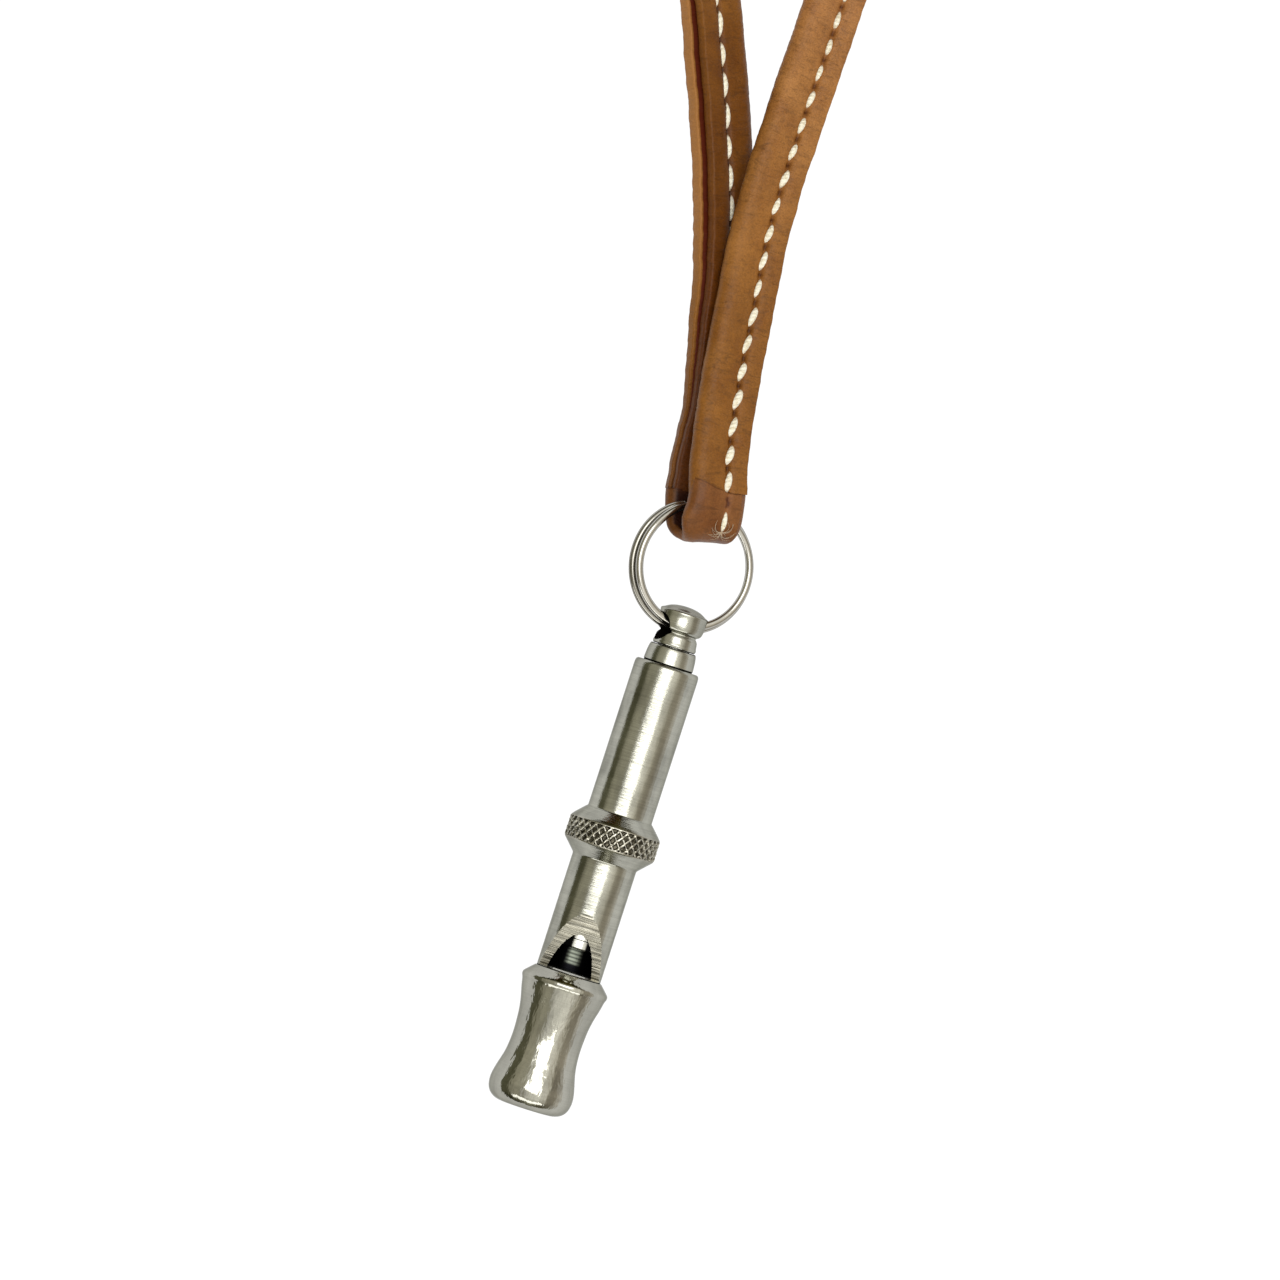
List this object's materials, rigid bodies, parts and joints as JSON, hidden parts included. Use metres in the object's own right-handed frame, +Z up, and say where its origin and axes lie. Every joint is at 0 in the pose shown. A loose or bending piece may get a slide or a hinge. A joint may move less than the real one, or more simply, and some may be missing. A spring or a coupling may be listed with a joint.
{
  "type": "training whistle",
  "caption": "Adjustable pitch training whistle with knurled collar, flared mouthpiece and screw-tuned plunger, hung by a split ring on a stitched leather neck lanyard.",
  "frame": {"origin": "on the surface the whistle lies on, under the middle of the whistle and split ring", "axes": "+Y along the whistle's axis from the mouth end to the tuning head, +Z up from the surface, window facing up"},
  "size_m": [0.0856, 0.2716, 0.0156],
  "materials": {
    "nickel_turned": "turned and nickel plated, fine tool marks round the axis",
    "nickel_polished": "polished nickel plate with a warm tone",
    "nickel_dull": "as-turned, dull nickel",
    "ring_wire": "drawn wire, nickel plated",
    "leather_tan": "smooth tan leather with fine creases and darker edges",
    "leather_dark": "darker tan leather",
    "seam_thread": "waxed cream twisted thread"
  },
  "bodies": {
    "lanyard": {"ring_tab": "leather_tan", "strap_front": "leather_tan", "strap_back": "leather_tan", "lanyard_coil": "leather_tan", "coil_keeper": "leather_dark", "seam_thread_front": "seam_thread", "seam_thread_back": "seam_thread"},
    "split_ring": {"split_ring": "ring_wire"},
    "tuning_screw": {"tuning_screw": "nickel_polished"},
    "piston": {"piston": "nickel_dull"},
    "whistle_body": {"barrel": "nickel_turned", "mouthpiece": "nickel_polished", "windway_plug": "nickel_dull", "end_bush": "nickel_turned"}
  },
  "joints": [
    {"name": "ring_in_tab", "type": "hinge", "parent": "lanyard", "child": "split_ring", "pos_m": [-0.00056, 0.04596, 0.00595], "axis": [-0.9167, -0.0595, 0.3952], "range_deg": [-75, 75]},
    {"name": "head_on_ring", "type": "hinge", "parent": "split_ring", "child": "tuning_screw", "pos_m": [0.00095, 0.02792, 0.00705], "axis": [-0.9063, 0, 0.4226], "range_deg": [-90, 90]},
    {"name": "tuning_turn", "type": "hinge", "parent": "tuning_screw", "child": "piston", "pos_m": [0.00095, 0, 0.00705], "axis": [0, -1, 0], "range_deg": [0, 3960]},
    {"name": "tuning_travel", "type": "slide", "parent": "piston", "child": "whistle_body", "axis": [0, -1, 0], "range_m": [0, 0.0088]}
  ],
  "couplings": [
    {"joint": "tuning_turn", "follows": "tuning_travel", "rad_per_m": 7854}
  ]
}
